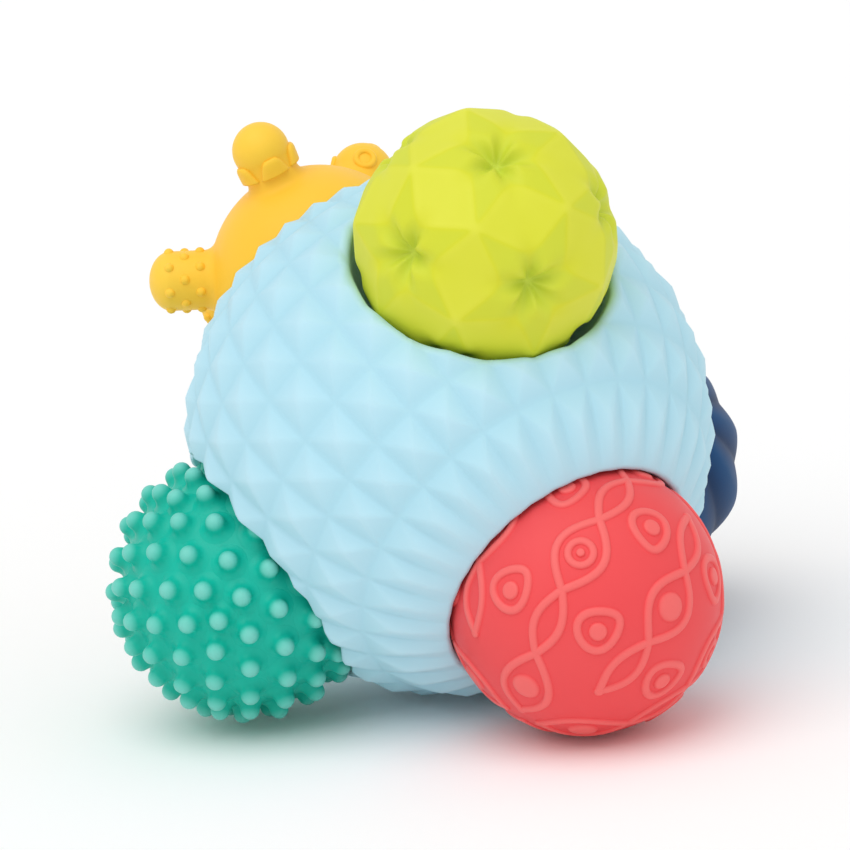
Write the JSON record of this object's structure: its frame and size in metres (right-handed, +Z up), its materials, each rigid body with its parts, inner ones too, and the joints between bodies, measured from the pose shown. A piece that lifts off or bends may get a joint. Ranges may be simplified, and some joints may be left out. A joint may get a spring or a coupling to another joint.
{
  "type": "sensory ball",
  "caption": "Hollow ball with a pyramid-grip skin and round sockets, each holding a removable smaller textured ball to squeeze, pull out and push back in.",
  "frame": {"origin": "the point of the floor straight under the centre of the big ball, as the toy rests on the big ball and two of the small balls", "axes": "+Z up from the floor, +Y the way the picture's camera looks, +X to the right in the picture"},
  "size_m": [0.197, 0.2057, 0.1846],
  "materials": {
    "blue_vinyl": "satin",
    "lime_vinyl": "satin",
    "red_vinyl": "satin",
    "teal_vinyl": "satin",
    "navy_vinyl": "satin",
    "yellow_vinyl": "satin"
  },
  "bodies": {
    "big": {"big_ball": "blue_vinyl", "big_ball_plug": "blue_vinyl"},
    "faceted": {"faceted_ball": "lime_vinyl", "faceted_ball_plug": "lime_vinyl"},
    "chain": {"chain_ball": "red_vinyl", "chain_ball_plug": "red_vinyl"},
    "spiky": {"spiky_ball": "teal_vinyl", "spiky_ball_plug": "teal_vinyl"},
    "ripple": {"ripple_ball": "navy_vinyl", "ripple_ball_plug": "navy_vinyl"},
    "knobby": {"knobby_ball": "yellow_vinyl", "knobby_ball_plug": "yellow_vinyl"}
  },
  "joints": [
    {"name": "faceted_pull", "type": "slide", "parent": "big", "child": "faceted", "axis": [0.2082, -0.4717, 0.8568], "range_m": [0, 0.06]},
    {"name": "chain_pull", "type": "slide", "parent": "big", "child": "chain", "axis": [0.4553, -0.7286, -0.5117], "range_m": [0, 0.06]},
    {"name": "spiky_pull", "type": "slide", "parent": "big", "child": "spiky", "axis": [-0.8538, -0.1942, -0.483], "range_m": [0, 0.06]},
    {"name": "ripple_pull", "type": "slide", "parent": "big", "child": "ripple", "axis": [0.6456, 0.666, -0.3738], "range_m": [0, 0.06]},
    {"name": "knobby_pull", "type": "slide", "parent": "big", "child": "knobby", "axis": [-0.4553, 0.7286, 0.5117], "range_m": [0, 0.06]}
  ]
}
